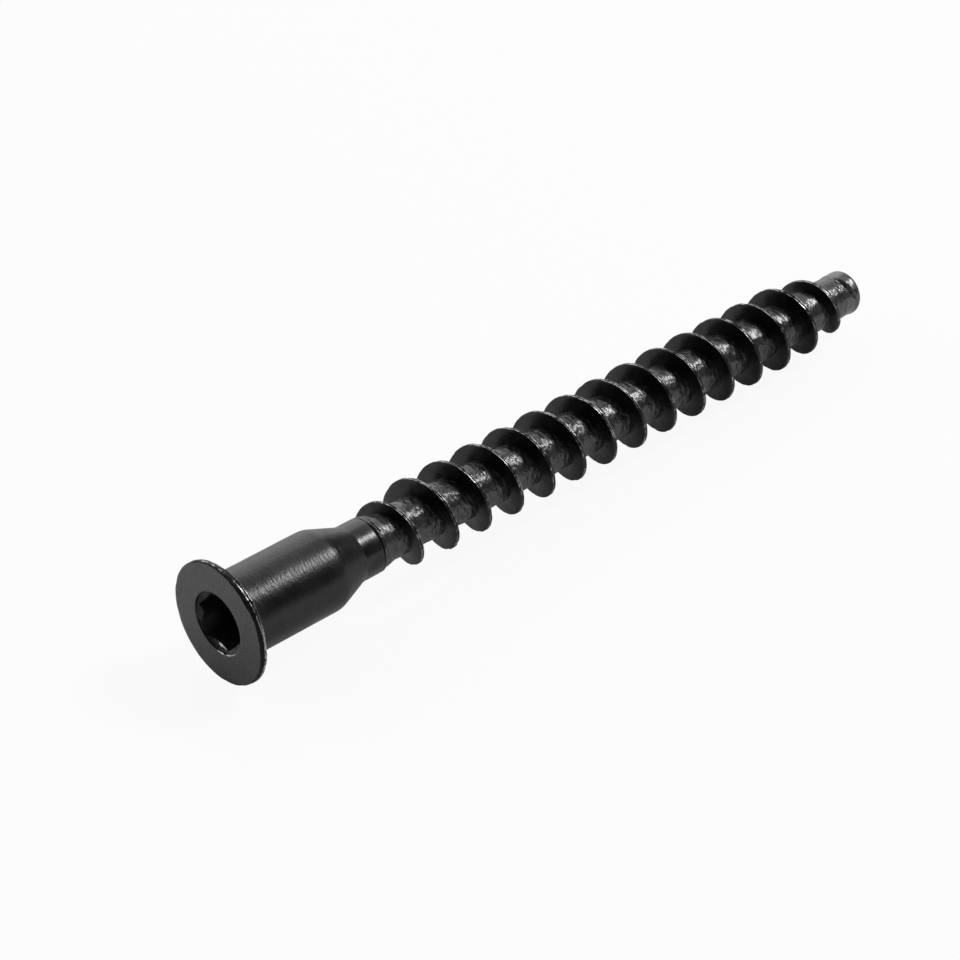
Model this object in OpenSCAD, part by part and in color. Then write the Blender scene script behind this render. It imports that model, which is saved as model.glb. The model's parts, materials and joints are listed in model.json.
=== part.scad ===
// One-piece furniture connector screw, lying as it comes to rest on a table.
// It is a steel blank with a flat flange head and a punched hexagon socket, a smooth shank, a tapered shoulder,
// a collar, a coarse right-hand thread rolled on a thin core, and a blunt point.
// Places along the screw are measured from the outer face of its head.

/* [Head] */
// Diameter of the flange
flange_d = 10.15; // [9:0.05:13]
// Thickness of the flange
flange_t = 0.5; // [0.45:0.05:1.2]
// Bevel on both edges of the flange's rim
rim_bevel = 0.07; // [0.05:0.01:0.15]
// Radius of the fillet between the flange and the shank
head_fillet = 0.2; // [0.1:0.05:0.4]

/* [Socket] */
// Size of the hexagon key across its flats
key_af = 4; // [3:0.5:4.5]
// Play between the key and the socket, across the flats
key_play = 0.2; // [0.1:0.05:0.3]
// Depth of the socket's flats
socket_depth = 4.6; // [3:0.1:7]
// Width of the round recess at the socket's mouth, beyond the flats
mouth_bevel = 0.55; // [0.45:0.05:0.65]
// Depth of the steep edge of that recess
mouth_step = 0.1; // [0.05:0.05:0.25]
// Depth at which the recess meets the flats
mouth_depth = 0.45; // [0.35:0.05:0.6]
// Half angle of the cone at the socket's bottom
socket_cone = 60; // [50:5:75]
// Turn of the socket's corners from the start of the thread's helix
socket_turn = 35; // [0:1:59]

/* [Shank] */
// Diameter of the smooth shank
shank_d = 6.8; // [6.5:0.1:8]
// Place of the shoulder, where the shank starts to taper
shoulder_at = 9.9; // [9:0.05:20]
// Rounding radius of the shoulder
shoulder_r = 2.1; // [1:0.1:4]
// Length of the taper from the shank down to the collar
taper_l = 2.9; // [2:0.1:4]
// Rounding radius at the foot of the taper
foot_r = 0.4; // [0.2:0.1:1]
// Diameter of the collar
collar_d = 4.7; // [4.5:0.05:5]
// Length of the collar
collar_l = 1.8; // [1.5:0.05:3]

/* [Thread] */
// Diameter over the crests of the thread
thread_d = 6.73; // [6.2:0.01:7.4]
// Diameter of the core between the turns
core_d = 4.04; // [3.8:0.02:4.3]
// Distance from one turn to the next
pitch = 3.5; // [3:0.1:4]
// Width of a turn at its foot
fin_foot = 0.8; // [0.72:0.02:1.2]
// Width of a turn where its foot's fillet ends
fin_waist = 0.6; // [0.5:0.02:0.7]
// Height where that fillet ends, as a share of the turn's height
waist_share = 0.15; // [0.1:0.01:0.3]
// Width of the flat on a turn's crest
fin_crest = 0.28; // [0.2:0.02:0.4]
// Step down from the collar to the rolled core
collar_step = 0.07; // [0.04:0.01:0.1]
// Length over which the core tapers behind the collar
core_taper_l = 1.6; // [1:0.1:2.5]
// Gap between the collar and the start of the thread
run_in_gap = 0.8; // [0.2:0.1:1.2]
// Length over which the thread grows to its full height
run_in_l = 4.7; // [2:0.1:6]
// Flat steps that make one turn of the thread
turn_steps = 36; // [24:4:48]

/* [Point] */
// Length of the whole screw
screw_l = 70.7; // [50:0.1:80]
// Diameter of the blunt point
point_d = 3.96; // [3.7:0.02:4.1]
// Length of the point's rim, in front of the rolled core
point_rim = 1.6; // [1:0.1:2.5]
// Rounding radius of the point's edge
point_edge = 0.45; // [0.1:0.05:0.6]
// Step up from the rolled core to the point's rim
point_step = 0.06; // [0.04:0.01:0.1]
// Length, before the point's rim, over which the core tapers
point_taper_l = 4; // [2:0.5:6]
// Share of its height that the thread keeps on its last turns
last_share = 0.62; // [0.4:0.02:0.8]
// Length over which the thread falls to that share
fall_l = 2.2; // [1.5:0.1:4]
// Length of those last turns
last_l = 1.5; // [0.5:0.1:4]
// Length over which the last turn runs out
run_out_l = 1.8; // [1:0.1:3]
// Gap between the end of the thread and the point's rim
run_out_gap = 0.6; // [0.3:0.1:1]

/* [Lying] */
// Roll of the screw about its axis as it lies
lie_roll = 243.7; // [0:0.1:360]

/* [Hidden] */

// Radii
flange_r = flange_d / 2;
shank_r = shank_d / 2;
collar_r = collar_d / 2;
core_r = core_d / 2;
crest_r = thread_d / 2;
point_r = point_d / 2;
socket_af = key_af + key_play;
mouth_r = socket_af / 2 + mouth_bevel;

// Places along the screw
taper_end = shoulder_at + taper_l;
collar_end = taper_end + collar_l;
run_in_at = collar_end + run_in_gap;
rim_at = screw_l - point_rim;
run_out_end = rim_at - run_out_gap;
run_out_at = run_out_end - run_out_l;
fall_at = run_out_at - last_l - fall_l;

// How far the thread's core reaches into the collar and into the point, so that they join as one
lap = 0.5;
// Straight steps in each rounded corner of the turned outline
arc_steps = 6;
// How far a cut reaches past the face that it opens
cut_past = 1;
// How far the steep edge of the socket's mouth leans inwards
mouth_draft = 0.05;

// Resting pose: the rim of the flange and the last full turn's lowest crest both touch the table
rim_touch = flange_t - rim_bevel;
lowest_crest = pitch * (1 - lie_roll / 360);
last_touch = lowest_crest + pitch * floor((fall_at - lowest_crest) / pitch);
lie_tilt = atan((flange_r - crest_r) / (last_touch - rim_touch));
axis_height = flange_r * cos(lie_tilt) + rim_touch * sin(lie_tilt);
back_x = -(flange_r - rim_bevel) * sin(lie_tilt);
front_x = screw_l * cos(lie_tilt) + (point_r - point_edge) * sin(lie_tilt);

// Points of an arc, from one angle to another
function arc(centre, r, from, to) =
    [for (i = [0 : arc_steps]) let (a = from + (to - from) * i / arc_steps) centre + r * [cos(a), sin(a)]];

// A value that goes from a to b as x goes from 0 to 1, and stays there beyond
function between(a, b, x) = a + (b - a) * max(0, min(1, x));

// The same with a smooth start and end
function eased(a, b, x) = let (t = max(0, min(1, x))) a + (b - a) * t * t * (3 - 2 * t);

// Outline of the turned head, shank and collar, as distance from the axis and place along it
taper_slope = atan((shank_r - collar_r) / taper_l);
shoulder_c = [shank_r - shoulder_r, shoulder_at - shoulder_r * tan(taper_slope / 2)];
foot_c = [collar_r + foot_r, taper_end + foot_r * tan(taper_slope / 2)];
blank_outline = concat(
    [[0, 0], [flange_r - rim_bevel, 0], [flange_r, rim_bevel], [flange_r, rim_touch]],
    [[flange_r - rim_bevel, flange_t]],
    arc([shank_r + head_fillet, flange_t + head_fillet], head_fillet, 270, 180),
    arc(shoulder_c, shoulder_r, 0, taper_slope),
    arc(foot_c, foot_r, 180 + taper_slope, 180),
    [[collar_r, collar_end], [0, collar_end]]
);

// Outline of the blunt point
point_outline = concat(
    [[0, rim_at], [point_r, rim_at]],
    arc([point_r - point_edge, screw_l - point_edge], point_edge, 0, 90),
    [[0, screw_l]]
);

// Section of one turn, as distance from its middle and share of its height
fin_section = [
    [-pitch / 2, 0], [-fin_foot / 2, 0], [-fin_waist / 2, waist_share], [-fin_crest / 2, 1],
    [fin_crest / 2, 1], [fin_waist / 2, waist_share], [fin_foot / 2, 0]
];
section_n = len(fin_section);

// Radius of the rolled core at a place along the screw
function core_at(s) =
    s < (collar_end + screw_l) / 2
        ? between(collar_r - collar_step, core_r, (s - collar_end) / core_taper_l)
        : between(core_r, point_r - point_step, (s - rim_at + point_taper_l) / point_taper_l);

// Share of the full height that the thread has at a place along the screw
function height_share(s) =
    let (grown = pow(max(0, min(1, (s - run_in_at) / run_in_l)), 1 / 3))
    let (fallen = eased(1, last_share, (s - fall_at) / fall_l))
    grown * fallen * eased(1, 0, (s - run_out_at) / run_out_l);

// The thread and its core make one skin. Its rows follow the helix, with a set of rows for each turn.
skin_from = collar_end - lap;
skin_to = rim_at + lap;
first_turn = floor(skin_from / pitch) - 1;
row_n = section_n * (ceil(skin_to / pitch) - first_turn + 2);

// Middle of the turn that a row belongs to, and the row's own place, at a step round the axis
function turn_middle(row, step) = pitch * (first_turn + floor(row / section_n) + step / turn_steps);
function row_place(row, step) = turn_middle(row, step) + fin_section[row % section_n][0];

// A point at a radius and a place along the screw, at a step round the axis
function on_step(r, s, step) = [r * cos(360 * step / turn_steps), r * sin(360 * step / turn_steps), s];

function skin_point(row, step) =
    let (s = row_place(row, step), middle = turn_middle(row, step))
    let (height = height_share(middle) * (crest_r - core_at(middle)))
    on_step(core_at(s) + fin_section[row % section_n][1] * height, s, step);

// Number of the point for a row and step: two end rings come first, and rows beyond an end fall on its ring
function skin_index(row, step) =
    step == turn_steps ? skin_index(row + section_n, 0) :
    row_place(row, step) <= skin_from ? step :
    row_place(row, step) >= skin_to ? turn_steps + step :
    (row + 2) * turn_steps + step;

skin_points = concat(
    [for (step = [0 : turn_steps - 1]) on_step(core_at(skin_from), skin_from, step)],
    [for (step = [0 : turn_steps - 1]) on_step(core_at(skin_to), skin_to, step)],
    [for (row = [0 : row_n - 1], step = [0 : turn_steps - 1]) skin_point(row, step)]
);

skin_faces = concat(
    [[for (step = [0 : turn_steps - 1]) step]],
    [[for (step = [turn_steps - 1 : -1 : 0]) turn_steps + step]],
    [
        for (row = [0 : row_n - section_n - 2], step = [0 : turn_steps - 1])
        let (a = skin_index(row, step), b = skin_index(row, step + 1))
        let (c = skin_index(row + 1, step + 1), d = skin_index(row + 1, step))
        for (face = [[a, d, c], [a, c, b]])
        if (face[0] != face[1] && face[1] != face[2] && face[2] != face[0]) face
    ]
);

// Hexagon socket: flat sides, a conical bottom and a round shallow recess at the mouth
module socket() {
    hexagon_r = socket_af / 2 / cos(30);
    cone_l = hexagon_r / tan(socket_cone);
    intersection() {
        translate([0, 0, -cut_past])
            cylinder(r = hexagon_r, h = cut_past + socket_depth + cone_l, $fn = 6);
        translate([0, 0, socket_depth + cone_l])
            mirror([0, 0, 1])
                rotate_extrude()
                    polygon([
                        [0, 0], [2 * hexagon_r, 2 * cone_l],
                        [2 * hexagon_r, socket_depth + cone_l + cut_past],
                        [0, socket_depth + cone_l + cut_past]
                    ]);
    }
    step_r = mouth_r - mouth_draft;
    rotate_extrude()
        polygon([
            [0, -cut_past], [mouth_r, -cut_past], [mouth_r, 0],
            [step_r, mouth_step], [socket_af / 2, mouth_depth], [0, mouth_depth]
        ]);
}

module blank() {
    difference() {
        rotate_extrude()
            polygon(blank_outline);
        rotate([0, 0, socket_turn])
            socket();
    }
}

module thread() {
    polyhedron(points = skin_points, faces = skin_faces);
}

module point() {
    rotate_extrude()
        polygon(point_outline);
}

module screw() {
    color("#2c2c2e")
        translate([-(back_x + front_x) / 2, 0, axis_height])
            rotate([0, 90 + lie_tilt, 0])
                rotate([0, 0, lie_roll])
                    union() {
                        blank();
                        thread();
                        point();
                    }
}

screw();
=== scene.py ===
import json
import math

import bpy
import numpy as np
from mathutils import Matrix, Vector


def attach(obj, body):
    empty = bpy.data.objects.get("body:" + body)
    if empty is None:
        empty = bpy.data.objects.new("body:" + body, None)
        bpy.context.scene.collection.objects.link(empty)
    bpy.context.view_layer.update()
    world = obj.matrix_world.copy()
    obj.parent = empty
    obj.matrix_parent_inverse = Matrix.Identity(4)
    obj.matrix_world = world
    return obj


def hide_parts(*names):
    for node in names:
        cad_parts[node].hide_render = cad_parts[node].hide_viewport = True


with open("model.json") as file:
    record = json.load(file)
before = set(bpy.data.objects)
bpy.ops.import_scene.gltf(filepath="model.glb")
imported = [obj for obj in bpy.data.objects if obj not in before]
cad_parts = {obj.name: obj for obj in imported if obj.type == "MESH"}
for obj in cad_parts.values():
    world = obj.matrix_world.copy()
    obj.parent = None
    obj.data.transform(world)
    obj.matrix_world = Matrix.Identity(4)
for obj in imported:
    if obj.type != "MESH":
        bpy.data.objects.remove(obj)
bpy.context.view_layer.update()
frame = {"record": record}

# The lay of the screw. A steel connector screw rests on the rim of its flange and on a crest near its
# point, so its axis dips a little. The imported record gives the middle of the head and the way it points.
MM = 0.001
mounts = {mount["name"]: mount for mount in frame["record"]["mounts"]}
head_middle = np.array(mounts["key_socket"]["pos_m"]) / MM
forward = np.array(mounts["shank"]["axis"])
sideways = np.array([0.0, 1.0, 0.0])
downward = np.cross(sideways, forward)
dip = math.asin(-forward[2])

# Columns of the skin run round the axis, from the angle at which the helix crosses the face of the head
COLUMNS = 144
ROLL = math.radians(243.7)
column = np.arange(COLUMNS)
around = ROLL + 2 * np.pi * column / COLUMNS
turned = np.mod(around, 2 * math.pi)

# The socket. A hexagon for a key, punched into the steel head while cold, a little off the middle: six
# flat walls, a conical floor, and a shallow round recess that the punch's shoulder pressed in at the mouth.
SOCKET_AF = 4.2
SOCKET_DEPTH = 4.6
SOCKET_CONE = math.radians(60)
SOCKET_TURN = math.radians(35)
SOCKET_OFF = 0.09
MOUTH_R = 2.61
MOUTH_STEP = 0.15
MOUTH_DRAFT = 0.05
MOUTH_DEPTH = 0.45
MOUTH_LUMPS = 0.035

# The punch tore the top of one wall outwards
TEAR = 0.45
TEAR_LIMIT = 0.8
TEAR_FROM = math.radians(26)
TEAR_TO = math.radians(80)
TEAR_RISE = math.radians(26)
TEAR_FALL = math.radians(20)
TEAR_FOOT = 0.7

# One part of the recess has sunk, and there it and the edge above it show grey metal: partly rubbing, and
# partly a painted glint along the lower mouth
SINK = 0.15
SINK_AT = 0.75
SINK_HALF = 0.3
BARE_GLINT_AT = math.radians(-4)
BARE_GLINT_HALF = math.radians(28)
BARE_GLINT_SHARE = 0.4
BARE_GLINT_RUB = 1.5
EDGE_GLINT_AT = math.radians(-27)
EDGE_GLINT_HALF = math.radians(100)
EDGE_GLINT_DEPTH = 0.1
EDGE_GLINT_RUB = 1.14

# Rows of the floor, walls and recess, as shares of their reach, and of the edge above them, in mm
FLOOR_ROWS = np.array([0.25, 0.5, 0.75, 0.97])[:, None]
WALL_ROWS = np.array([0.01, 0.25, 0.5, 0.7, 0.8, 0.88, 0.95, 0.99])[:, None]
RECESS_ROWS = np.array([0.05, 0.25, 0.5, 0.75, 0.93])[:, None]
STEP_ROWS = np.array([0.125, 0.08, 0.045, 0.02, 0.005])
STEP_FLARE = np.array([0.008, 0.018, 0.03, 0.048, 0.075])

INSIDE_BLACK = {
    "tone": 0.075, "rough": 0.5, "spread": 0.1,
    "clouds_per_m": 900, "grains_per_m": 9000, "grain_share": 0.3, "grain_depth": 0.015,
}
PUNCHED_BLACK = {
    "tone": 0.04, "rough": 0.27, "spread": 0.08,
    "clouds_per_m": 900, "grains_per_m": 9000, "grain_share": 0.3, "grain_depth": 0.015,
}


def on_screw(place, radius, angle):
    """Points beside the axis, in mm.

    head + place * forward + radius * (cos(angle) * down + sin(angle) * side)
    """
    place, radius, angle = np.broadcast_arrays(place, radius, angle)
    out = np.cos(angle)[..., None] * downward + np.sin(angle)[..., None] * sideways
    return head_middle + place[..., None] * forward + radius[..., None] * out


def rows_of(*stretches):
    """Joins stretches of (places, radii) into two arrays with one row for each value and all columns."""
    places = np.concatenate([np.atleast_1d(stretch[0]).astype(float) for stretch in stretches])
    radii = np.concatenate([np.atleast_1d(stretch[1]).astype(float) for stretch in stretches])
    return places[:, None] + 0 * column, radii[:, None] + 0 * column


def eased(x):
    """Goes from 0 to 1 as x does, with a smooth start and end: 3 x squared less 2 x cubed."""
    x = np.clip(x, 0, 1)
    return x * x * (3 - 2 * x)


def bump_at(x, middle, half):
    """A smooth bump that is 1 at the middle and 0 from half away."""
    return eased(1 - np.abs(x - middle) / half)


def bump_round(middle, half):
    """The same bump over the columns, for an angle round the axis."""
    return bump_at(np.mod(around - middle + math.pi, 2 * math.pi), math.pi, half)


LATTICE = 32


def lumps(points, size, seed):
    """Smooth random values from -1 to 1: random numbers on a cubic lattice, eased between its corners."""
    lattice = np.random.default_rng(seed).uniform(-1, 1, (LATTICE, LATTICE, LATTICE))
    cell = points / size
    low = np.floor(cell).astype(int)
    share = eased(cell - low)
    total = np.zeros(points.shape[:-1])
    for corner in np.ndindex(2, 2, 2):
        weight = np.prod(np.where(corner, share, 1 - share), axis=-1)
        total += weight * lattice[tuple(np.moveaxis((low + corner) % LATTICE, -1, 0))]
    return total


def mixed_lumps(points, seed, coarse, fine, coarse_share=1.0, fine_share=1.0):
    """A share of coarse lumps plus a share of fine ones, whose seed is the next."""
    return coarse_share * lumps(points, coarse, seed) + fine_share * lumps(points, fine, seed + 1)


# A hexagon: half its width over the cosine of the angle from the middle of the nearest flat
from_flat = np.mod(around - ROLL - SOCKET_TURN, math.pi / 3) - math.pi / 6
hexagon_r = SOCKET_AF / 2 / np.cos(from_flat)
corner_r = SOCKET_AF / 2 / math.cos(math.pi / 6)
socket_end = SOCKET_DEPTH + corner_r / math.tan(SOCKET_CONE)
step_r = MOUTH_R - MOUTH_DRAFT
recess_slope = (MOUTH_DEPTH - MOUTH_STEP) / (step_r - SOCKET_AF / 2)

# Rows run out from the middle of the floor, up the walls at the hexagon's own radius, and over the
# recess, whose cone cuts each wall higher at its corners than at its middle
floor_radius = FLOOR_ROWS * hexagon_r
floor_place = socket_end - floor_radius / math.tan(SOCKET_CONE)
wall_foot = socket_end - hexagon_r / math.tan(SOCKET_CONE)
torn = eased((TEAR_TO - turned) / TEAR_FALL) * eased((turned - TEAR_FROM) / TEAR_RISE)
top_r = hexagon_r + np.minimum(TEAR * torn, TEAR_LIMIT * (step_r - hexagon_r))
wall_top = MOUTH_STEP + recess_slope * (step_r - top_r)
wall_place = wall_foot + WALL_ROWS * (wall_top - wall_foot)
wall_tear = np.clip((WALL_ROWS - TEAR_FOOT) / (1 - TEAR_FOOT), 0, 1)
wall_radius = hexagon_r + (top_r - hexagon_r) * wall_tear
recess_radius = top_r + RECESS_ROWS * (step_r - top_r)
recess_place = wall_top + RECESS_ROWS * (MOUTH_STEP - wall_top)
step_place, step_radius = rows_of((STEP_ROWS, step_r + STEP_FLARE))

recess_points = on_screw(recess_place, recess_radius, around)
bare_glint_part = bump_round(BARE_GLINT_AT, BARE_GLINT_HALF)
recess_place += MOUTH_LUMPS * mixed_lumps(recess_points, seed=1, coarse=0.7, fine=0.3, fine_share=0.6)
recess_place += SINK * bump_at(RECESS_ROWS, SINK_AT, SINK_HALF) * bare_glint_part
# Painted glint: grey metal in the sunk part of the recess and along the lower edge of the mouth, partly
# rubbing
recess_glint_rub = BARE_GLINT_RUB * bare_glint_part * (RECESS_ROWS < BARE_GLINT_SHARE)
step_glint_rub = EDGE_GLINT_RUB * bump_round(EDGE_GLINT_AT, EDGE_GLINT_HALF) * (step_place < EDGE_GLINT_DEPTH)
socket_place = np.concatenate([floor_place, wall_place, recess_place, step_place])
socket_radius = np.concatenate([floor_radius, wall_radius, recess_radius, step_radius])
socket_rub_and_glint = np.concatenate([0 * floor_place, 0 * wall_place, recess_glint_rub, step_glint_rub])

# The flange. A thin round head, upset cold from the end of the steel wire, with a flat grainy face. Its
# rim was never trimmed: its side is rough, dark and partly slanted, and its edges are ragged and rubbed,
# with painted highlights on the side and the rear edge.
FLANGE_R = 5.075
FLANGE_T = 0.5
RIM_EDGE = 0.05
FACE_ROWS = 9
MOUTH_MARGIN = 0.2
RIM_MARGIN = 0.32

# Rows of the rim by their depth behind the face, and how far its two edges are rounded off
FRONT_ROWS = np.array([0.005, 0.02, 0.05])
FRONT_FALL = RIM_EDGE * np.array([1, 0.5, 0.15])
SIDE_ROWS = np.array([0.1, 0.16, 0.21, 0.26])
REAR_ROWS = np.array([0.29, 0.32, 0.35, 0.38, 0.41, 0.435, 0.46])
REAR_EDGE_ROWS = np.array([0.478, 0.49, 0.498])
REAR_EDGE_FALL = np.array([0.012, 0.04, 0.09])

# The slant lets the side fall back towards the face
SLANT = 0.2
SLANT_T = 0.32
SLANT_AT = math.radians(262)
SLANT_HALF = math.radians(85)
SLANT_UNEVEN = 0.35

# A burr behind a narrow gap doubles the rear edge on one part
BURR_AT = math.radians(215)
BURR_HALF = math.radians(50)
BURR_OUT = 0.14
BURR_FROM = 0.38
BURR_L = 0.08
GAP_DEPTH = 0.07
GAP_PLACE = 0.41
GAP_HALF = 0.035

# The edges are ragged all round, and most on one part
RIM_RAGGED = 0.09
RAGGED_LEAST = 0.3
RAGGED_AT = math.radians(230)
RAGGED_HALF = math.radians(120)
RAGGED_STRETCH = 2.5
RAGGED_LEVEL = 0.2
FRONT_EDGE_T = 0.06
FRONT_EDGE_MORE = 0.5
REAR_EDGE_FROM = 0.2

# The side has grey patches that are painted highlights on its nicks, most at the top where the light falls,
# with a little rubbing; the rear edge is rubbed to grey metal that also paints its bright line, less so at
# the top and in the gap
SIDE_SHEEN_AND_RUB = 0.66
SIDE_SHEEN_FROM = 0.12
LIT_TOP_AT = math.radians(172)
LIT_TOP_HALF = math.radians(45)
LIT_TOP_SHEEN = 0.2
REAR_RUB_AND_SHEEN = 1.05
REAR_SHEEN_TOP_LESS = 0.5
REAR_GAP_LESS = 0.9

UPSET_BLACK = {
    "tone": 0.122, "rough": 0.5, "spread": 0.1,
    "clouds_per_m": 700, "grains_per_m": 7000, "grain_share": 0.6, "grain_depth": 0.055,
}
SHEARED_BLACK = {
    "tone": 0.024, "rough": 0.55, "spread": 0.15,
    "clouds_per_m": 2500, "grains_per_m": 5000, "grain_share": 0.5, "grain_depth": 0.08,
}

face_reach = np.linspace(MOUTH_R + MOUTH_MARGIN, FLANGE_R - RIM_EDGE - RIM_MARGIN, FACE_ROWS)
face_place, face_radius = rows_of((np.zeros(FACE_ROWS), face_reach))
side_place, side_radius = rows_of(
    (FRONT_ROWS, FLANGE_R - FRONT_FALL),
    (SIDE_ROWS, np.full(len(SIDE_ROWS), FLANGE_R)),
)
rear_place, rear_radius = rows_of(
    (REAR_ROWS, np.full(len(REAR_ROWS), FLANGE_R)),
    (REAR_EDGE_ROWS, FLANGE_R - REAR_EDGE_FALL),
)

edge_points = on_screw(0, FLANGE_R, around)
slant_lumps = mixed_lumps(edge_points, seed=41, coarse=0.9, fine=0.4, fine_share=0.8)
slant = SLANT * bump_round(SLANT_AT, SLANT_HALF) * (1 + SLANT_UNEVEN * slant_lumps)
side_radius = side_radius - slant * np.clip(1 - side_place / SLANT_T, 0, 1)
burr_part = bump_round(BURR_AT, BURR_HALF)
in_gap = bump_at(rear_place, GAP_PLACE, GAP_HALF) * burr_part
rear_radius = rear_radius - GAP_DEPTH * in_gap
burr_share = np.clip((rear_place - BURR_FROM) / BURR_L, 0, 1)
rear_place = rear_place + BURR_OUT * burr_share * burr_part

rim_place = np.concatenate([side_place, rear_place])
rim_radius = np.concatenate([side_radius, rear_radius])
rim_points = on_screw(RAGGED_STRETCH * rim_place, FLANGE_R, around)
rim_lumps = mixed_lumps(rim_points, seed=3, coarse=0.8, fine=0.33, coarse_share=0.7, fine_share=0.6)
rear_lumps = mixed_lumps(edge_points, seed=5, coarse=0.9, fine=0.35, fine_share=0.7)
ragged = RIM_RAGGED * (RAGGED_LEAST + (1 - RAGGED_LEAST) * bump_round(RAGGED_AT, RAGGED_HALF))
front_more = 1 + FRONT_EDGE_MORE * (rim_place < FRONT_EDGE_T)
rim_radius = rim_radius + ragged * front_more * (np.minimum(rim_lumps, RAGGED_LEVEL) - RAGGED_LEVEL)
rim_place = rim_place - ragged * np.maximum(rear_lumps, 0) * (rim_place > REAR_EDGE_FROM)
# Painted highlight: grey patches on the rim's side grow towards the top, where the light falls, and the
# rear edge's painted bright line fades there
lit_top = bump_round(LIT_TOP_AT, LIT_TOP_HALF)
side_sheen_and_rub = (SIDE_SHEEN_AND_RUB + LIT_TOP_SHEEN * lit_top) * (side_place > SIDE_SHEEN_FROM)
rear_rub_and_sheen = REAR_RUB_AND_SHEEN * (1 - REAR_GAP_LESS * in_gap) * (1 - REAR_SHEEN_TOP_LESS * lit_top)
rim_rub_and_sheen = np.concatenate([side_sheen_and_rub, rear_rub_and_sheen])

# The shank and collar. The smooth blank behind the flange, tapered down to the collar that the thread
# starts from. It is drawn steel wire, so fine rings run round it. A groove and a bead show where the
# thread rolls ended.
SHANK_R = 3.4
SHANK_FROM = 1.2
SHANK_ROWS = 22
SHANK_WAVE = 0.008
WAVE_FROM = 1
REAR_FACE_OUT = 0.3
REAR_FACE_IN = 0.1
HEAD_FILLET = 0.2
SHOULDER_AT = 9.9
SHOULDER_R = 2.1
SHOULDER_GAP = 0.2
TAPER_L = 2.9
TAPER_ROWS = np.linspace(0.2, 0.9, 8)
FOOT_R = 0.4
FOOT_L = 0.3
COLLAR_R = 2.35
COLLAR_L = 1.8
COLLAR_ROWS = 6
COLLAR_EDGE = 0.12
COLLAR_GAP = 0.2
COLLAR_STEP = 0.07
GROOVE_DEPTH = 0.13
GROOVE_ROWS = np.array([0, 0.06])
GROOVE_RISE = np.array([0.02, 0])
BEAD_ROWS = np.array([0.1, 0.14, 0.18, 0.26, 0.34])
BEAD_FALL = np.array([0.14, 0.05, 0.02, 0.015, 0.05])
BEAD_END = 0.42
BEAD_LUMPS = 0.02

# Sizes of the rolled core, which the last ring of the bead already meets
CORE_R = 2.02
CORE_TAPER_L = 1.6
SCREW_L = 70.7
POINT_RIM = 1.6
POINT_R = 1.98
POINT_STEP = 0.06
POINT_TAPER_L = 4.0

DRAWN_BLACK = {
    "tone": 0.055, "rough": 0.33, "spread": 0.14,
    "clouds_per_m": 600, "grains_per_m": 6000, "grain_share": 0.3, "grain_depth": 0.01,
    "strokes_per_m": 7000, "squeeze": 0.2, "stroke_depth": 0.022,
}
COLLAR_BLACK = {
    "tone": 0.06, "rough": 0.27, "spread": 0.08,
    "clouds_per_m": 900, "grains_per_m": 6000, "grain_share": 0.3, "grain_depth": 0.004,
    "strokes_per_m": 6500, "squeeze": 0.2, "stroke_depth": 0.008,
}

taper_end = SHOULDER_AT + TAPER_L
collar_end = taper_end + COLLAR_L
rim_at = SCREW_L - POINT_RIM
thread_from = collar_end + BEAD_END
taper_slope = math.atan((SHANK_R - COLLAR_R) / TAPER_L)
taper_deg = math.degrees(taper_slope)
shoulder_place = SHOULDER_AT - SHOULDER_R * math.tan(taper_slope / 2)
foot_place = taper_end + FOOT_R * math.tan(taper_slope / 2)
groove_r = COLLAR_R - COLLAR_STEP - GROOVE_DEPTH


def arc(place, radius, size, start, end, count):
    """Rows of a rounded corner, in degrees: 0 points away from the axis and 90 along the screw."""
    turn = np.radians(np.linspace(start, end, count))
    return place + size * np.sin(turn), radius + size * np.cos(turn)


def core_at(place):
    """Radius of the rolled core: it tapers behind the collar, stays even, and tapers before the point."""
    start = COLLAR_R - COLLAR_STEP
    head_end = start + (CORE_R - start) * np.clip((place - collar_end) / CORE_TAPER_L, 0, 1)
    end = POINT_R - POINT_STEP
    point_share = np.clip((place - rim_at + POINT_TAPER_L) / POINT_TAPER_L, 0, 1)
    point_end = CORE_R + (end - CORE_R) * point_share
    return np.where(place < SCREW_L / 2, head_end, point_end)


shank_place, shank_radius = rows_of(
    (FLANGE_T, FLANGE_R - REAR_FACE_OUT),
    (FLANGE_T, SHANK_R + HEAD_FILLET + REAR_FACE_IN),
    arc(FLANGE_T + HEAD_FILLET, SHANK_R + HEAD_FILLET, HEAD_FILLET, start=270, end=180, count=5),
    (np.linspace(SHANK_FROM, shoulder_place - SHOULDER_GAP, SHANK_ROWS), np.full(SHANK_ROWS, SHANK_R)),
    arc(shoulder_place, SHANK_R - SHOULDER_R, SHOULDER_R, start=0, end=taper_deg, count=7),
    (SHOULDER_AT + TAPER_L * TAPER_ROWS, SHANK_R - (SHANK_R - COLLAR_R) * TAPER_ROWS),
)
collar_reach = np.linspace(taper_end + FOOT_L, collar_end - COLLAR_GAP, COLLAR_ROWS)
collar_place, collar_radius = rows_of(
    arc(foot_place, COLLAR_R + FOOT_R, FOOT_R, start=180 + taper_deg, end=180, count=5),
    (collar_reach, np.full(COLLAR_ROWS, COLLAR_R)),
    arc(collar_end - COLLAR_EDGE, COLLAR_R - COLLAR_EDGE, COLLAR_EDGE, start=15, end=75, count=4),
)
groove_place, groove_radius = rows_of(
    (collar_end + GROOVE_ROWS, groove_r + GROOVE_RISE),
    (collar_end + BEAD_ROWS, COLLAR_R - BEAD_FALL),
    (thread_from, core_at(thread_from)),
)
shank_points = on_screw(shank_place, SHANK_R, around)
groove_points = on_screw(groove_place, COLLAR_R, around)
shank_radius -= SHANK_WAVE * (1 + lumps(shank_points, size=1.7, seed=8)) * (shank_place > WAVE_FROM)
groove_radius += BEAD_LUMPS * lumps(groove_points, size=0.8, seed=7)

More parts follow.
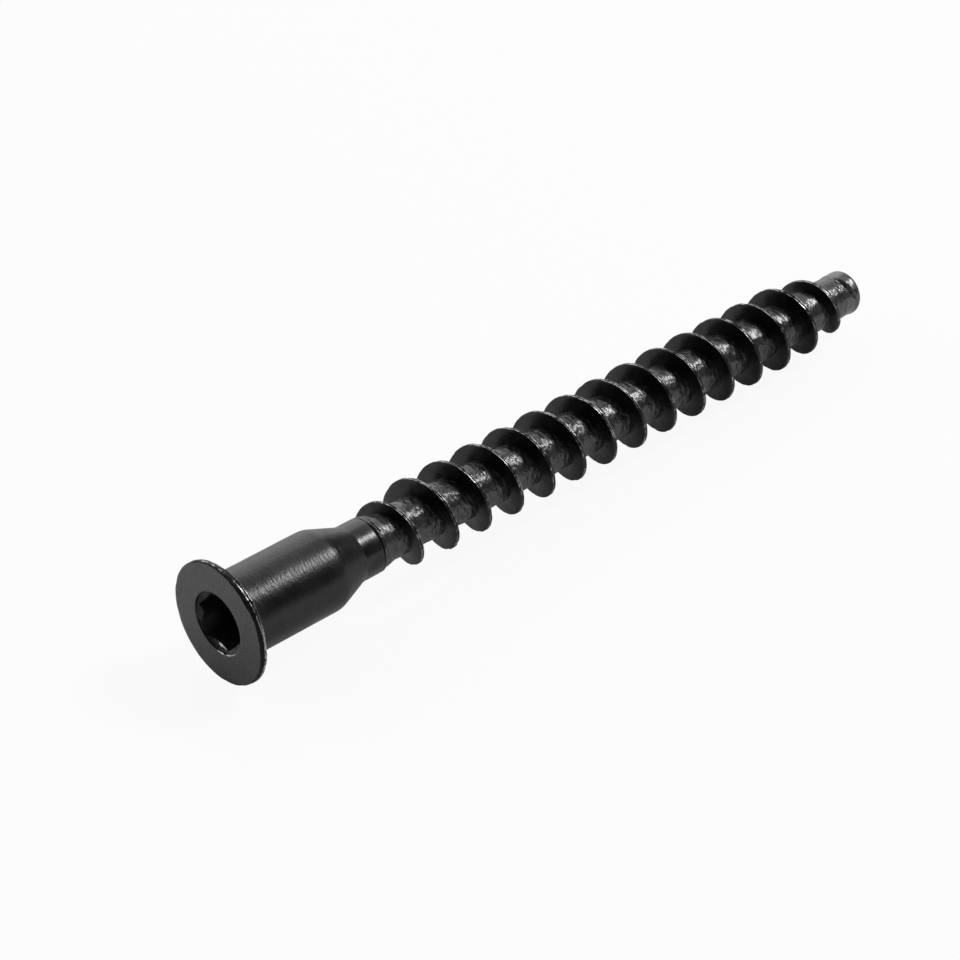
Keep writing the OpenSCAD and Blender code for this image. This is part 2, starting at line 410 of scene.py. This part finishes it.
# The thread. A thin tall fin, rolled right-handed round a thin core. The steel that the rolls pushed up
# left a seam along the crest between two lips, and dents on the core. The fin grows out behind the
# collar, falls before the point and runs out.
CREST_R = 3.365
PITCH = 3.5
CREST_HALF = 0.15
FOOT_HALF = 0.33
LAND_ROWS = 16
RUN_IN_GAP = 0.8
RUN_IN_L = 4.7
LAST_SHARE = 0.62
FALL_L = 2.2
LAST_L = 1.5
RUN_OUT_L = 1.8
RUN_OUT_GAP = 0.6
RUN_OUT_END = 0.3
FLANK_WAVE = 0.015

# Lips: how far out from the middle, how high, and how much rubbed
LIP_OFFSET = np.array([0.3, 0.62, 0.86, 1.0])
LIP_SHARE = np.array([0.99, 1.0, 0.993, 0.96])
LIP_RUB = np.array([0.8, 1.0, 0.9, 0.4])
LIP_LEVEL = 0.95
LIP_UNEVEN = 0.4
FLANK_ROWS = np.array([0.2, 0.4, 0.6, 0.8, 1.0])

# The seam comes and goes, and is open all along the first crest
SEAM_DEPTH = 0.06
SEAM_SHARE = 0.98
SEAM_RUB = 0.6
SEAM_REACH = 1.3
SEAM_CUT = 0.1
SEAM_FIRST = 1.2

# Chips bite into the crest, dents cover the core, and folds ring it where the thread begins
CHIP_DEPTH = 0.08
CHIP_CUT = 0.2
CHIP_FINE = 0.3
CHIP_APART = 0.3
CHIP_ABOVE = 0.9
DENT_DEPTH = 0.045
DENT_SHARE = 0.6
DENT_LEAST = 0.3
DENT_STRETCH = 1.7
FOLD_DEPTH = 0.05
FOLD_FROM = 0.5
FOLD_L = 3.5
FOLD_STRETCH = 2.6

# How deep the marks of the rolls are: deepest on the first turns, but shallow on the folds before them
FIRST_CRUMPLE = 1.25
LAST_CRUMPLE = 0.75
FOLD_CRUMPLE = -0.7

FLANK_BLACK = {
    "tone": 0.054, "rough": 0.29, "spread": 0.1,
    "clouds_per_m": 900, "grains_per_m": 5000, "grain_share": 0.3, "grain_depth": 0.008,
}
CORE_BLACK = {
    "tone": 0.115, "rough": 0.34, "spread": 0.12,
    "clouds_per_m": 1500, "grains_per_m": 6000, "grain_share": 0.4, "grain_depth": 0.012,
    "strokes_per_m": 3000, "squeeze": 0.6, "stroke_depth": 0.1,
}

run_in_at = collar_end + RUN_IN_GAP
run_out_at = rim_at - RUN_OUT_GAP - RUN_OUT_L
fall_at = run_out_at - LAST_L - FALL_L
thread_to = rim_at - RUN_OUT_END

# Rows of one turn, from its middle outwards: two lips beside the seam, and flanks that widen downwards
flank_half = CREST_HALF + (FOOT_HALF - CREST_HALF) * FLANK_ROWS
half_offset = np.concatenate([LIP_OFFSET * CREST_HALF, flank_half])
half_share = np.concatenate([LIP_SHARE, 1 - FLANK_ROWS])
half_lip = np.concatenate([LIP_RUB, 0 * FLANK_ROWS])
land_offset = np.linspace(FOOT_HALF, PITCH - FOOT_HALF, LAND_ROWS + 2)[1:-1]
turn_offset = np.concatenate([-half_offset[::-1], [0], half_offset, land_offset])
turn_share = np.concatenate([half_share[::-1], [SEAM_SHARE], half_share, np.zeros(LAND_ROWS)])
turn_lip = np.concatenate([half_lip[::-1], [SEAM_RUB], half_lip, np.zeros(LAND_ROWS)])
turn_rows = len(turn_offset)


def thread_height(place):
    """Share of the full height: the cube root of the run-in, an eased fall and an eased run-out."""
    grown = np.cbrt(np.clip((place - run_in_at) / RUN_IN_L, 0, 1))
    fallen = 1 - (1 - LAST_SHARE) * eased((place - fall_at) / FALL_L)
    return grown * fallen * (1 - eased((place - run_out_at) / RUN_OUT_L))


# Each row climbs one pitch in a turn, and the rows of a turn follow those of the turn before
first_turn = math.floor(thread_from / PITCH) - 1
turn_count = math.ceil(thread_to / PITCH) - first_turn + 2
row = np.arange(turn_rows * turn_count)[:, None]
row_offset = turn_offset[row % turn_rows]
fin_middle = PITCH * (first_turn + row // turn_rows + column / COLUMNS)
fin_share = turn_share[row % turn_rows] + 0 * fin_middle
fin_lip = turn_lip[row % turn_rows] + 0 * fin_middle
flat_place = fin_middle + row_offset
flank_points = on_screw(flat_place, CORE_R + fin_share, around)
thread_place = flat_place + FLANK_WAVE * lumps(flank_points, size=0.8, seed=10) * (fin_share > 0)

crest_points = on_screw(fin_middle + CHIP_APART * np.sign(row_offset), CREST_R, around)
chips = np.clip(lumps(crest_points, size=0.6, seed=11) - CHIP_CUT, 0, 1)
chips += CHIP_FINE * lumps(crest_points, size=0.33, seed=12)
first_crest = 1 - eased((fin_middle - run_in_at - RUN_IN_L) / PITCH)
seam_lumps = lumps(crest_points, size=2.2, seed=13)
seam_open = np.clip(SEAM_REACH * seam_lumps - SEAM_CUT + SEAM_FIRST * first_crest, 0, 1)
seam = SEAM_DEPTH * (fin_share == SEAM_SHARE) * seam_open
fin_lip *= LIP_LEVEL + LIP_UNEVEN * lumps(crest_points, size=1.0, seed=14)
crest_height = CREST_R - CHIP_DEPTH * np.maximum(chips, 0) * (fin_share > CHIP_ABOVE)
fin_height = thread_height(fin_middle) * (crest_height - core_at(fin_middle))

core_points = on_screw(thread_place, CORE_R, around)
rolled_points = on_screw(DENT_STRETCH * thread_place, CORE_R, around)
folded_points = on_screw(FOLD_STRETCH * thread_place, CORE_R, around)
dents = DENT_SHARE * lumps(core_points, size=0.5, seed=21)
dents += DENT_SHARE * lumps(rolled_points, size=0.45, seed=22)
begun = eased((thread_place - collar_end - FOLD_FROM) / FOLD_L)
folds = (1 - begun) * lumps(folded_points, size=1.3, seed=23)
core_relief = DENT_DEPTH * dents * (DENT_LEAST + (1 - DENT_LEAST) * begun) + FOLD_DEPTH * folds
thread_radius = core_at(thread_place) + fin_share * fin_height + (1 - fin_share) * core_relief - seam
thread_crumple = FIRST_CRUMPLE + (LAST_CRUMPLE - FIRST_CRUMPLE) * thread_place / SCREW_L
thread_crumple += FOLD_CRUMPLE * (1 - begun)

# The point. A blunt cropped end in front of the thread, a little thicker than the core. The last of the
# rolled steel lapped over it on one side, along the helix, and left a short dark groove with a lip.
POINT_EDGE = 0.45
POINT_ROWS = 24
POINT_START = 0.07
POINT_GAP = 0.04
END_ROWS = np.array([0.75, 0.5, 0.25])
POINT_WAVE = 0.01
ROLLED_WAVE = 0.025
LAP_FROM = math.radians(193)
LAP_TO = math.radians(250)
LAP_BEFORE = 0.2
LAP_BEYOND = 0.3
LAP_MIDDLE = 0.5
LAP_FADE = 0.75
LAP_START = 69.14
LAP_RISE = 0.68
LAP_HALF = 0.28
LAP_DEPTH = 0.5
LAP_STEP_L = 0.2
LAP_LIP_AT = 0.34
LAP_LIP_HALF = 0.24
LAP_LIP_RUB = 1.1

POINT_BLACK = {
    "tone": 0.135, "rough": 0.33, "spread": 0.12,
    "clouds_per_m": 1500, "grains_per_m": 6000, "grain_share": 0.4, "grain_depth": 0.012,
    "strokes_per_m": 1900, "squeeze": 0.9, "stroke_depth": 0.05,
}

point_reach = np.linspace(thread_to + POINT_START, SCREW_L - POINT_EDGE - POINT_GAP, POINT_ROWS)
point_place, point_radius = rows_of(
    (thread_to, core_at(thread_to)),
    (point_reach, np.full(POINT_ROWS, POINT_R)),
    arc(SCREW_L - POINT_EDGE, POINT_R - POINT_EDGE, POINT_EDGE, start=0, end=86, count=7),
    (np.full(len(END_ROWS), SCREW_L), (POINT_R - POINT_EDGE) * END_ROWS),
)
lap_share = (turned - LAP_FROM) / (LAP_TO - LAP_FROM)
lap_place = LAP_START + LAP_RISE * np.clip(lap_share, -LAP_BEFORE, 1 + LAP_BEYOND)
lap_reach = bump_at(lap_share, LAP_MIDDLE, LAP_FADE)
rolled = 1 - eased((point_place - lap_place + LAP_STEP_L / 2) / LAP_STEP_L)
lap = lap_reach * bump_at(point_place, lap_place, LAP_HALF)
point_points = on_screw(point_place, POINT_R, around)
on_side = eased((SCREW_L - point_place) / POINT_EDGE)
point_lumps = mixed_lumps(point_points, seed=31, coarse=0.7, fine=0.33, coarse_share=0.7, fine_share=0.4)
point_relief = (POINT_WAVE + ROLLED_WAVE * rolled) * point_lumps - POINT_STEP * rolled - LAP_DEPTH * lap
point_radius[1:] += (on_side * point_relief)[1:]
point_lip = LAP_LIP_RUB * lap_reach * bump_at(point_place, lap_place + LAP_LIP_AT, LAP_LIP_HALF)

# The skin. The steel screw is one piece, so all of its rows make one closed skin: head rows, thread rows
# that climb the helix between two end rings, and point rows. Each face has the finish of its own part.
SHARP_ANGLE = math.radians(38)

head_place = np.concatenate(
    [socket_place, face_place, rim_place, shank_place, collar_place, groove_place])
head_radius = np.concatenate(
    [socket_radius, face_radius, rim_radius, shank_radius, collar_radius, groove_radius])
head_points = on_screw(head_place, head_radius, around)
head_points[:len(socket_place)] += SOCKET_OFF * sideways
head_points = head_points.reshape(-1, 3)
thread_points = on_screw(thread_place, thread_radius, around).reshape(-1, 3)
end_points = on_screw(point_place, point_radius, around).reshape(-1, 3)
pole_points = on_screw(np.array([socket_end, SCREW_L]), np.zeros(2), np.zeros(2))
skin_points = np.concatenate([head_points, thread_points, end_points, pole_points])

# Thread points past an end of the thread give way to the ring there
thread_start = len(head_points)
end_start = thread_start + len(thread_points)
pole_start = end_start + len(end_points)
head_index = np.arange(thread_start).reshape(-1, COLUMNS)
end_index = np.arange(end_start, pole_start).reshape(-1, COLUMNS)
thread_index = np.arange(thread_start, end_start).reshape(-1, COLUMNS)
thread_index = np.where(flat_place <= thread_from, head_index[-1], thread_index)
thread_index = np.where(flat_place >= thread_to, end_index[0], thread_index)


def strip_faces(here, beside, finish):
    """Two triangles and their finish for each cell between rows, less those that have no area."""
    a, b, c, d = here[:-1], beside[:-1], beside[1:], here[1:]
    first = np.stack([a, b, c], -1).reshape(-1, 3)
    second = np.stack([a, c, d], -1).reshape(-1, 3)
    faces = np.concatenate([first, second])
    kinds = np.tile(np.broadcast_to(finish, a.shape).reshape(-1), 2)
    apart = np.all(faces != np.roll(faces, -1, axis=1), axis=1)
    return faces[apart], kinds[apart]


def ring_faces(index, finish):
    """Faces of a block whose rows are closed rings, so that its last column meets its first."""
    return strip_faces(index, np.roll(index, -1, axis=1), finish)


# One turn on, a thread row meets the row that lies one pitch further along
climbing = thread_index[:-turn_rows]
climbed = np.concatenate([climbing[:, 1:], thread_index[turn_rows:, :1]], axis=1)
floor_fan = np.stack([np.full(COLUMNS, pole_start), np.roll(head_index[0], -1), head_index[0]], -1)
end_fan = np.stack([end_index[-1], np.roll(end_index[-1], -1), np.full(COLUMNS, pole_start + 1)], -1)
INSIDE, PUNCHED, FACE, RIM, SHANK, COLLAR, FLANK, CORE, POINT = range(9)
head_finish = np.repeat(
    [INSIDE, PUNCHED, FACE, RIM, SHANK, COLLAR, CORE],
    [
        len(floor_place) + len(wall_place) - 1,
        len(recess_place) + len(step_place),
        len(face_place) + 1,
        len(side_place),
        len(rear_place) + len(shank_place),
        len(collar_place),
        len(groove_place),
    ],
)
on_land = np.arange(len(climbing) - 1) % turn_rows >= 2 * len(half_offset)
thread_finish = np.where(on_land, CORE, FLANK)
skin_parts = [
    (floor_fan, np.full(COLUMNS, INSIDE)),
    ring_faces(head_index, head_finish[:-1, None]),
    strip_faces(climbing, climbed, thread_finish[:, None]),
    ring_faces(end_index, POINT),
    (end_fan, np.full(COLUMNS, POINT)),
]
skin_faces = np.concatenate([faces for faces, _ in skin_parts])
skin_finish = np.concatenate([finish for _, finish in skin_parts])

# How much each point shows grey metal: rubbing on edges that stand out, and on the rim and socket mouth
# also painted highlight; and how deep the marks of the rolls are there
head_rub_and_sheen = np.concatenate(
    [socket_rub_and_glint, 0 * face_place, rim_rub_and_sheen, 0 * shank_place, 0 * collar_place, 0 * groove_place])
skin_rub_and_sheen = np.concatenate(
    [head_rub_and_sheen.reshape(-1), fin_lip.reshape(-1), point_lip.reshape(-1), np.zeros(len(pole_points))])
skin_crumple = np.ones(len(skin_points))
skin_crumple[thread_start:end_start] = thread_crumple.reshape(-1)

used, skin_faces = np.unique(skin_faces, return_inverse=True)
skin_faces = skin_faces.reshape(-1, 3)
skin = bpy.data.meshes.new("screw_skin")
skin.from_pydata(skin_points[used] * MM, [], skin_faces)
skin.polygons.foreach_set("use_smooth", np.ones(len(skin_faces), bool))
skin.polygons.foreach_set("material_index", skin_finish.astype(np.int32))
# This attribute holds rubbed crest edges and lips, and also painted highlights on the rim and in the socket
# mouth
rub_and_sheen_attribute = skin.attributes.new("rub_and_sheen", "FLOAT", "POINT")
rub_and_sheen_attribute.data.foreach_set("value", skin_rub_and_sheen[used].astype(np.float32))
crumple_attribute = skin.attributes.new("crumple", "FLOAT", "POINT")
crumple_attribute.data.foreach_set("value", skin_crumple[used].astype(np.float32))
skin.set_sharp_from_angle(angle=SHARP_ANGLE)
skin.update()

screw = bpy.data.objects.new("connector_screw", skin)
bpy.context.collection.objects.link(screw)
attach(screw, "root")
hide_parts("screw")

# The finish. Black oxide on bare steel: a thin dark skin that is mottled, keeps the grain of what lies
# under it, and has rubbed off to grey metal on the edges that stand out. On the rim and the socket mouth
# that grey metal is also a painted highlight.
DARKEST = 0.4
LIGHTEST = 1.6
BLUE_SHARE = 0.01
BARE_AND_SHEEN_TONE = 0.45
BARE_AND_SHEEN_ROUGH = 0.38
BREAKS_PER_M = 2600
SHEEN_AND_RUB_HOLD = 0.42
SHEEN_AND_RUB_THROUGH = 0.56


def add(tree, kind, sockets, **settings):
    """Adds a node with its settings, and fills its sockets with plain values or with links."""
    made = tree.nodes.new(kind)
    for name, value in settings.items():
        setattr(made, name, value)
    for name, value in sockets.items():
        if isinstance(value, bpy.types.NodeSocket):
            tree.links.new(value, made.inputs[name])
        else:
            made.inputs[name].default_value = value
    return made


def calculate(tree, operation, first, second):
    """The output of a Math node on two values or links."""
    return add(tree, "ShaderNodeMath", {0: first, 1: second}, operation=operation).outputs[0]


# A Mix node repeats its socket names, so they go by number: 2 and 3 for numbers, 6 and 7 for colours
def mix(tree, share, first, second):
    """The output of a Mix node that goes from one number to another with the share."""
    return add(tree, "ShaderNodeMix", {"Factor": share, 2: first, 3: second}).outputs[0]


def mix_colours(tree, share, first, second):
    """The output of a Mix node that goes from one colour to another with the share."""
    sockets = {"Factor": share, 6: first, 7: second}
    return add(tree, "ShaderNodeMix", sockets, data_type="RGBA").outputs[2]


def noise(tree, place, per_metre, detail):
    """The output of a noise texture of a given fineness."""
    sockets = {"Vector": place, "Scale": per_metre, "Detail": detail}
    return add(tree, "ShaderNodeTexNoise", sockets).outputs["Fac"]


def new_group(name, inputs, outputs):
    """An empty shader group with number sockets, and its two end nodes."""
    group = bpy.data.node_groups.new(name, "ShaderNodeTree")
    for socket in inputs:
        group.interface.new_socket(socket, in_out="INPUT", socket_type="NodeSocketFloat")
    for socket in outputs:
        group.interface.new_socket(socket, in_out="OUTPUT", socket_type="NodeSocketFloat")
    return group, group.nodes.new("NodeGroupInput").outputs, group.nodes.new("NodeGroupOutput").inputs


# Mottle: soft clouds and fine grain in the oxide, and a tone that is part of each
mottle, given, result = new_group(
    "oxide_mottle", ["Clouds per metre", "Grains per metre", "Grain share"], ["Clouds", "Grain", "Tone"])
place = add(mottle, "ShaderNodeTexCoord", {}).outputs["Object"]
clouds = noise(mottle, place, given["Clouds per metre"], detail=4.0)
grain = noise(mottle, place, given["Grains per metre"], detail=2.0)
mottle.links.new(clouds, result["Clouds"])
mottle.links.new(grain, result["Grain"])
mottle.links.new(mix(mottle, given["Grain share"], clouds, grain), result["Tone"])

# Rubbed edges and painted highlights: where the rub attribute, broken up by noise, passes from hold to
# through
rub_and_sheen_group, given, result = new_group("rubbed_and_sheen_edges", ["Breaks per metre", "Hold", "Through"], ["Bare"])
rub_and_sheen = add(rub_and_sheen_group, "ShaderNodeAttribute", {}, attribute_name="rub_and_sheen").outputs["Fac"]
place = add(rub_and_sheen_group, "ShaderNodeTexCoord", {}).outputs["Object"]
breaks = noise(rub_and_sheen_group, place, given["Breaks per metre"], detail=3.0)
uneven = calculate(rub_and_sheen_group, "MULTIPLY", rub_and_sheen, breaks)
limits = {"Value": uneven, "From Min": given["Hold"], "From Max": given["Through"]}
bare_and_sheen = add(rub_and_sheen_group, "ShaderNodeMapRange", limits)
rub_and_sheen_group.links.new(bare_and_sheen.outputs["Result"], result["Bare"])

# Strokes: marks of drawing and rolling that run round the axis, from noise that is squeezed along it
strokes, given, result = new_group("stroke_marks", ["Strokes per metre", "Squeeze"], ["Height"])
place = add(strokes, "ShaderNodeTexCoord", {}).outputs["Object"]
level = add(strokes, "ShaderNodeMapping", {"Vector": place, "Rotation": (0, -dip, 0)}).outputs[0]
across = {"X": 1.0, "Y": given["Squeeze"], "Z": given["Squeeze"]}
squeeze = add(strokes, "ShaderNodeCombineXYZ", across).outputs[0]
along = add(strokes, "ShaderNodeVectorMath", {0: level, 1: squeeze}, operation="MULTIPLY").outputs[0]
marks = noise(strokes, along, given["Strokes per metre"], detail=1.0)
crumple = add(strokes, "ShaderNodeAttribute", {}, attribute_name="crumple").outputs["Fac"]
strokes.links.new(calculate(strokes, "MULTIPLY", marks, crumple), result["Height"])


def black_finish(name, tone, rough, spread, clouds_per_m, grains_per_m, grain_share, grain_depth,
                 strokes_per_m=0, squeeze=1.0, stroke_depth=0.0):
    """Oxide of one tone and its mottle, with grey metal on edges where rubbing took it off and on painted
    highlights, and a bump of grain and strokes, in mm.
    """
    finish = bpy.data.materials.new(name)
    finish.use_nodes = True
    tree = finish.node_tree
    shader = tree.nodes["Principled BSDF"]
    shader.inputs["Metallic"].default_value = 1.0
    spots = add(tree, "ShaderNodeGroup", {}, node_tree=mottle)
    spots.inputs["Clouds per metre"].default_value = clouds_per_m
    spots.inputs["Grains per metre"].default_value = grains_per_m
    spots.inputs["Grain share"].default_value = grain_share
    worn_and_sheen = add(tree, "ShaderNodeGroup", {}, node_tree=rub_and_sheen_group)
    worn_and_sheen.inputs["Breaks per metre"].default_value = BREAKS_PER_M
    worn_and_sheen.inputs["Hold"].default_value = SHEEN_AND_RUB_HOLD
    worn_and_sheen.inputs["Through"].default_value = SHEEN_AND_RUB_THROUGH
    bare_and_sheen = worn_and_sheen.outputs["Bare"]
    dark = [DARKEST * tone, DARKEST * tone, (DARKEST + BLUE_SHARE) * tone, 1]
    light = [LIGHTEST * tone, LIGHTEST * tone, (LIGHTEST + BLUE_SHARE) * tone, 1]
    metal = [BARE_AND_SHEEN_TONE, BARE_AND_SHEEN_TONE, BARE_AND_SHEEN_TONE, 1]
    oxide = mix_colours(tree, spots.outputs["Tone"], dark, light)
    # Grey metal: rubbing on crests and lips, painted highlight on the rim and in the socket mouth
    tree.links.new(mix_colours(tree, bare_and_sheen, oxide, metal), shader.inputs["Base Color"])
    black_rough = add(tree, "ShaderNodeMapRange", {"Value": spots.outputs["Clouds"]})
    black_rough.inputs["To Min"].default_value = rough - spread
    black_rough.inputs["To Max"].default_value = rough + spread
    roughness = mix(tree, bare_and_sheen, black_rough.outputs[0], BARE_AND_SHEEN_ROUGH)
    tree.links.new(roughness, shader.inputs["Roughness"])
    grit = add(tree, "ShaderNodeBump", {"Height": spots.outputs["Grain"], "Distance": grain_depth * MM})
    normal = grit
    if strokes_per_m:
        marked = add(tree, "ShaderNodeGroup", {}, node_tree=strokes)
        marked.inputs["Strokes per metre"].default_value = strokes_per_m
        marked.inputs["Squeeze"].default_value = squeeze
        normal = add(tree, "ShaderNodeBump", {"Height": marked.outputs[0], "Distance": stroke_depth * MM})
        tree.links.new(grit.outputs[0], normal.inputs["Normal"])
    tree.links.new(normal.outputs[0], shader.inputs["Normal"])
    return finish


# The finishes, in the order of the face kinds from INSIDE to POINT
for finish in [
    black_finish("inside_black", **INSIDE_BLACK),
    black_finish("punched_black", **PUNCHED_BLACK),
    black_finish("upset_black", **UPSET_BLACK),
    black_finish("sheared_black", **SHEARED_BLACK),
    black_finish("drawn_black", **DRAWN_BLACK),
    black_finish("collar_black", **COLLAR_BLACK),
    black_finish("flank_black", **FLANK_BLACK),
    black_finish("core_black", **CORE_BLACK),
    black_finish("point_black", **POINT_BLACK),
]:
    skin.materials.append(finish)

# The stage. A wide top of white paper, which looks nearly white and keeps the soft shadow of the screw, in
# a studio with a small bright box for the sparkle, a large soft one above and a long one behind.
TABLE_SIZE = 8
PAPER_TONE = 0.93
PAPER_SEEN = 0.92
PAPER_MIRRORED = 0.05
STUDIO_LEVEL = 0.13

bpy.ops.mesh.primitive_plane_add(size=TABLE_SIZE)
table = bpy.context.object
table.name = "table_top"
paper = bpy.data.materials.new("white_paper")
paper.use_nodes = True
tree = paper.node_tree
tree.nodes.clear()
path = add(tree, "ShaderNodeLightPath", {}).outputs
straight = calculate(tree, "MAXIMUM", path["Is Camera Ray"], path["Is Transmission Ray"])
seen = calculate(tree, "MULTIPLY", straight, PAPER_SEEN)
mirrored = calculate(tree, "MULTIPLY", path["Is Glossy Ray"], PAPER_MIRRORED)
lit = calculate(tree, "MAXIMUM", seen, mirrored)
white = add(tree, "ShaderNodeBsdfDiffuse", {"Color": (PAPER_TONE, PAPER_TONE, PAPER_TONE, 1)})
glow = add(tree, "ShaderNodeEmission", {"Color": (1, 1, 1, 1), "Strength": 1.0})
blend = add(tree, "ShaderNodeMixShader", {"Fac": lit, 1: white.outputs[0], 2: glow.outputs[0]})
add(tree, "ShaderNodeOutputMaterial", {"Surface": blend.outputs[0]})
table.data.materials.append(paper)

world = bpy.data.worlds.new("studio")
bpy.context.scene.world = world
world.use_nodes = True
studio = world.node_tree.nodes["Background"].inputs
studio["Color"].default_value = (1, 1, 1, 1)
studio["Strength"].default_value = STUDIO_LEVEL


def softbox(name, toward, distance, width, height, radiance):
    """A lamp that faces the screw from a direction: its power is radiance times area times pi."""
    toward = Vector(toward).normalized()
    lamp = bpy.data.lights.new(name, "AREA")
    lamp.shape = "RECTANGLE"
    lamp.size = width
    lamp.size_y = height
    lamp.energy = radiance * width * height * math.pi
    box = bpy.data.objects.new(name, lamp)
    bpy.context.collection.objects.link(box)
    box.location = distance * toward
    box.rotation_euler = toward.to_track_quat("Z", "Y").to_euler()


softbox("key_box", (0.61, -0.27, 0.745), distance=0.5, width=0.11, height=0.11, radiance=26.0)
softbox("top_box", (0.55, 0.32, 0.77), distance=0.8, width=0.6, height=0.5, radiance=0.65)
softbox("back_box", (0.0, 0.92, 0.42), distance=1.2, width=3.4, height=1.2, radiance=1.4)

# The camera. It stands in front of the head, above and to one side, and looks along the screw towards its
# point, through a long lens that is sharp all over.
VIEW_TURN = math.radians(-43.56)
VIEW_RISE = math.radians(36.373)
VIEW_ROLL = math.radians(0.086)
VIEW_DISTANCE = 0.24359
VIEW_AIM = Vector((-0.008655, -0.000145, 0.004971))
FOCAL_LENGTH = 115.72
SENSOR_W = 36.0
NEAREST = 0.01

lens = bpy.data.cameras.new("photo_camera")
lens.lens = FOCAL_LENGTH
lens.sensor_width = SENSOR_W
lens.clip_start = NEAREST
camera = bpy.data.objects.new("photo_camera", lens)
bpy.context.collection.objects.link(camera)
camera.rotation_euler = (math.pi / 2 - VIEW_RISE, 0, VIEW_TURN)
looking = camera.rotation_euler.to_matrix() @ Matrix.Rotation(VIEW_ROLL, 3, "Z")
camera.rotation_euler = looking.to_euler()
camera.location = VIEW_AIM + looking @ Vector((0, 0, VIEW_DISTANCE))
bpy.context.scene.camera = camera
bpy.context.scene.view_settings.view_transform = "Standard"
